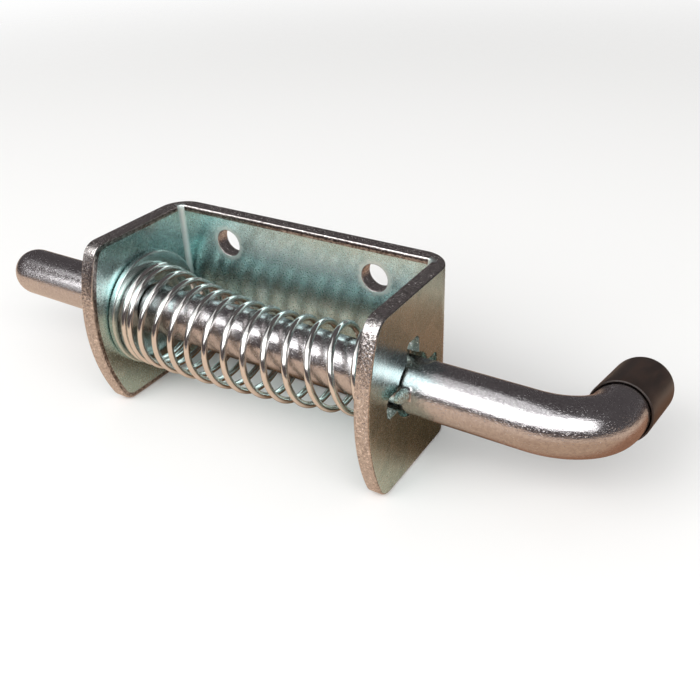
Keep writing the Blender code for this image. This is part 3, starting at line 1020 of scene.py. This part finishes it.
def makeSpringMaterial(look):
    material, tree, shader = startMaterial("springSteel", Metallic=1.0)
    place = meshPlace(tree)
    lines = useGroup(tree, drawnLines, place, Width=0.1 * mm)
    colour = blendColour(tree, lines.outputs["Mask"], look["steel"], look["steelDark"])
    feed(tree, shader.inputs["Base Color"], colour)
    feed(tree, shader.inputs["Roughness"], addScaled(tree, look["roughness"], lines.outputs["Mask"], 0.08))
    addBump(tree, shader, lines.outputs["Height"], 0.006 * mm)
    return material


springWire = addPiece("springWire", makeSpringMesh(springSizes), makeSpringMaterial(springLook),
                      "bracket", "spring", math.radians(50))

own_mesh(springWire)


# Cap on the handle's end

capSizes = {
    "radius": 6.63 * mm,
    "wall": 0.43 * mm,
    "endRadius": 3.4 * mm,
    "rimEdge": 0.16 * mm,
    "sides": 120,
}

capLook = {
    "plastic": (0.020, 0.013, 0.010),
    "plasticWarm": (0.042, 0.024, 0.017),
    "roughness": 0.34,
}


def makeCapMesh(s):
    length = barSizes["capLength"]
    boreEnd = length - barSizes["capEndWall"]
    bore = s["radius"] - s["wall"]
    rim = s["rimEdge"]
    profile = [(boreEnd, 0.0), (boreEnd, bore)]
    profile += arc((rim, bore + rim), rim, math.pi * 1.5, math.pi, 4)
    profile += arc((rim, s["radius"] - rim), rim, math.pi, quarter, 4)
    profile += [(length * share, s["radius"]) for share in (0.2, 0.4, 0.6)]
    profile += arc((length - s["endRadius"], s["radius"] - s["endRadius"]), s["endRadius"], quarter, 0, 14)
    profile += [(length, 0.0)]
    bendEnd, direction = bendPlace(barSizes, barSizes["bendAngle"])
    turned = Matrix((direction, acrossHandle.cross(direction), acrossHandle)).transposed()
    return turn("handleCap", profile, s["sides"], bendEnd + barSizes["bareHandle"] * direction, turned)


def makeCapMaterial(look):
    material, tree, shader = startMaterial("capPlastic")
    place = meshPlace(tree)
    pulled = stretched(tree, place, (0.25, 1.0, 1.0))
    smears = noiseAt(tree, pulled, 420, detail=4.0, roughness=0.6, distortion=0.4)
    colour = blendColour(tree, remap(tree, smears, 0.35, 0.7), look["plastic"], look["plasticWarm"])
    feed(tree, shader.inputs["Base Color"], colour)
    grain = useGroup(tree, surfaceGrain, place, **{"Size": 0.35 * mm, "Pits": 0.2})
    feed(tree, shader.inputs["Roughness"], addScaled(tree, look["roughness"] - 0.05, smears, 0.14))
    addBump(tree, shader, grain.outputs["Height"], 0.02 * mm)
    return material


addPiece("handleCap", makeCapMesh(capSizes), makeCapMaterial(capLook),
         "bolt", "handle_cap", math.radians(40))


# Studio: pale floor, soft window light, and cards that only show as reflections in the metal

studio = {
    "floorRadius": 6.0,
    "floorColour": (0.93, 0.925, 0.915),
    "floorFade": (0.30, 0.80),     # distances over which the floor gives way to the white background
    "worldDiffuse": 0.5,
    "panes": {                     # turn from -Y towards +X, height, width and height of the pane
        "windowLeft": (-33, 35, 0.86, 0.98),
        "windowRight": (29, 42, 2.60, 0.94),
    },
    "windowDistance": 1.3,
    "windowGlow": 2.3,
    "flagCard": (0.10, 0.09, 0.092),
    "horizonCard": (0.075, 0.058, 0.058),
    "cards": {                     # turns and heights in degrees, radius, and the glow it takes
        "backFlag": (80, 285, 0, 68, 2.4, "flagCard"),
        "overheadFlag": (60, 240, 68, 90, 2.4, "flagCard"),
        "horizonLeft": (-75, -49, 0, 11, 2.4, "horizonCard"),
        "horizonRight": (-42, 80, 0, 27, 2.4, "horizonCard"),
        "horizonNear": (-48, -10, 0, 31, 0.12, "horizonCard"),
        "horizonTip": (-80, -55, 0, 29, 0.25, "horizonCard"),
    },
    "tableRadius": 2.376,
    "tableColour": (0.74, 0.56, 0.43),
    "tableWarm": (0.56, 0.385, 0.265),
    "tableDeepShade": (0.38, 0.20, 0.125),
    "tableShade": (0.18, 0.10, 0.055),
    "tablePatches": (              # x and y, length against width, inner and outer reach across; the deep and shade patches are painted shadow of the object
        ("tableWarm", (0.095, -0.035), 1.3, (0.020, 0.055)),
        ("tableDeepShade", (0.060, 0.016), 1.7, (0.030, 0.044)),
        ("tableShade", (-0.002, -0.012), 2.4, (0.008, 0.018)),
        ("tableShade", (0.045, -0.006), 1.0, (0.005, 0.017)),
    ),
    "tableEnd": (0.18, 0.32),      # distances over which the table turns dark
    "tableBack": (0.04, 0.10),     # the same towards +Y
}


def showOnlyInGloss(thing):
    for ray in ("camera", "diffuse", "transmission", "volume_scatter", "shadow"):
        setattr(thing, "visible_" + ray, False)


def glowMaterial(name, colour):
    material, tree, _ = startMaterial(name)
    tree.nodes.clear()
    glow = addNode(tree, "ShaderNodeEmission")
    glow.inputs["Color"].default_value = (*colour, 1.0)
    out = addNode(tree, "ShaderNodeOutputMaterial")
    tree.links.new(glow.outputs[0], out.inputs["Surface"])
    return material


# Unit vector from a turn from -Y towards +X and a height, in degrees
def skyDirection(turnDegrees, heightDegrees):
    turned = math.radians(turnDegrees)
    height = math.radians(heightDegrees)
    level = math.cos(height)
    return Vector((math.sin(turned) * level, -math.cos(turned) * level, math.sin(height)))


# Patch of a sphere between two turns and two heights, in degrees
def skyCard(name, material, turnFrom, turnTo, heightFrom, heightTo, radius):
    builder = bmesh.new()
    rows = []
    across, up = 48, 12
    for row in range(up + 1):
        height = heightFrom + (heightTo - heightFrom) * row / up
        line = []
        for column in range(across + 1):
            turned = turnFrom + (turnTo - turnFrom) * column / across
            line.append(builder.verts.new(radius * skyDirection(turned, height)))
        rows.append(line)
    for lower, upper in zip(rows, rows[1:]):
        for column in range(across):
            builder.faces.new((lower[column], lower[column + 1], upper[column + 1], upper[column]))
    showOnlyInGloss(addMesh(name, meshFrom(builder, name), material))


def flatDisc(name, radius, height, material):
    builder = bmesh.new()
    bmesh.ops.create_circle(builder, cap_ends=True, segments=96, radius=radius)
    disc = addMesh(name, meshFrom(builder, name), material)
    disc.location = (0, 0, height)
    return disc


def makeStudio(s):
    dull = {"Roughness": 0.8, "Specular IOR Level": 0.0}
    floorMaterial, tree, shader = startMaterial("studioFloor", **dull)
    shader.inputs["Base Color"].default_value = (*s["floorColour"], 1.0)
    fromMiddle = lengthOf(tree, objectPlace(tree))
    feed(tree, shader.inputs["Alpha"], remap(tree, fromMiddle, *s["floorFade"], 1.0, 0.0))
    flatDisc("studioFloor", s["floorRadius"], cadLow.z - 0.1 * mm, floorMaterial)

    tableMaterial, tree, shader = startMaterial("tableCard", **dull)
    place = objectPlace(tree)
    colour = s["tableColour"]
    # darker patches round the object: except the warm one, these are painted shadow of the object on the
    # table card
    for patchColour, centre, stretch, reach in s["tablePatches"]:
        offset = addNode(tree, "ShaderNodeVectorMath", operation="DISTANCE")
        feed(tree, offset.inputs[0], stretched(tree, place, (1 / stretch, 1.0, 1.0)))
        offset.inputs[1].default_value = (centre[0] / stretch, centre[1], 0.0)
        colour = blendColour(tree, remap(tree, offset.outputs["Value"], *reach), s[patchColour], colour)
    far = doMath(tree, "MAXIMUM", remap(tree, lengthOf(tree, place), *s["tableEnd"]),
                 remap(tree, splitPlace(tree, place)["Y"], *s["tableBack"]))
    feed(tree, shader.inputs["Base Color"], blendColour(tree, far, colour, s["horizonCard"]))
    showOnlyInGloss(flatDisc("tableCard", s["tableRadius"], cadLow.z - 0.05 * mm, tableMaterial))

    glows = {name: glowMaterial(name, s[name]) for name in ("flagCard", "horizonCard")}
    for name, (*patch, glow) in s["cards"].items():
        skyCard(name, glows[glow], *patch)

    for name, (turned, height, wide, high) in s["panes"].items():
        pane = bpy.data.lights.new(name, "AREA")
        pane.shape = "RECTANGLE"
        pane.size, pane.size_y = wide, high
        pane.energy = s["windowGlow"] * math.pi * wide * high
        lamp = addObject(name, pane)
        towards = skyDirection(turned, height)
        lamp.location = s["windowDistance"] * towards
        lamp.rotation_euler = towards.to_track_quat("Z", "Y").to_euler()

    world = bpy.data.worlds.new("studioWorld")
    scene.world = world
    world.use_nodes = True
    tree = world.node_tree
    tree.nodes.clear()
    path = addNode(tree, "ShaderNodeLightPath")
    seen = doMath(tree, "ADD", path.outputs["Is Camera Ray"], path.outputs["Is Glossy Ray"], clamp=True)
    seen = doMath(tree, "ADD", seen, path.outputs["Is Transmission Ray"], clamp=True)
    background = addNode(tree, "ShaderNodeBackground")
    background.inputs["Color"].default_value = (1, 1, 1, 1)
    feed(tree, background.inputs["Strength"], mixValue(tree, seen, s["worldDiffuse"], 1.0))
    out = addNode(tree, "ShaderNodeOutputWorld")
    tree.links.new(background.outputs[0], out.inputs["Surface"])


makeStudio(studio)


# Camera: the photograph's place and angle, solved from the bracket's edges and the bar

cameraFit = {
    "place": (0.102873, -0.140806, 0.093269),
    "heading": math.radians(33.15),
    "tilt": math.radians(31.51),
    "roll": math.radians(-2.57),
    "lens": 41.794,
    "sensor": 36.0,
}


def makeCamera(s):
    data = bpy.data.cameras.new("camera")
    data.sensor_width = s["sensor"]
    data.lens = s["lens"]
    data.clip_start = 0.01
    data.clip_end = 20.0
    heading, tilt, roll = s["heading"], s["tilt"], s["roll"]
    ahead = Vector((-math.sin(heading) * math.cos(tilt), math.cos(heading) * math.cos(tilt), -math.sin(tilt)))
    level = Vector((math.cos(heading), math.sin(heading), 0))
    upright = level.cross(ahead)
    right = math.cos(roll) * level + math.sin(roll) * upright
    up = -math.sin(roll) * level + math.cos(roll) * upright
    camera = addObject("camera", data)
    camera.matrix_world = Matrix.Translation(s["place"]) @ Matrix((right, up, -ahead)).transposed().to_4x4()
    scene.camera = camera


makeCamera(cameraFit)
scene.view_settings.view_transform = "Standard"
print("studio and camera set")

bpy.context.view_layer.update()
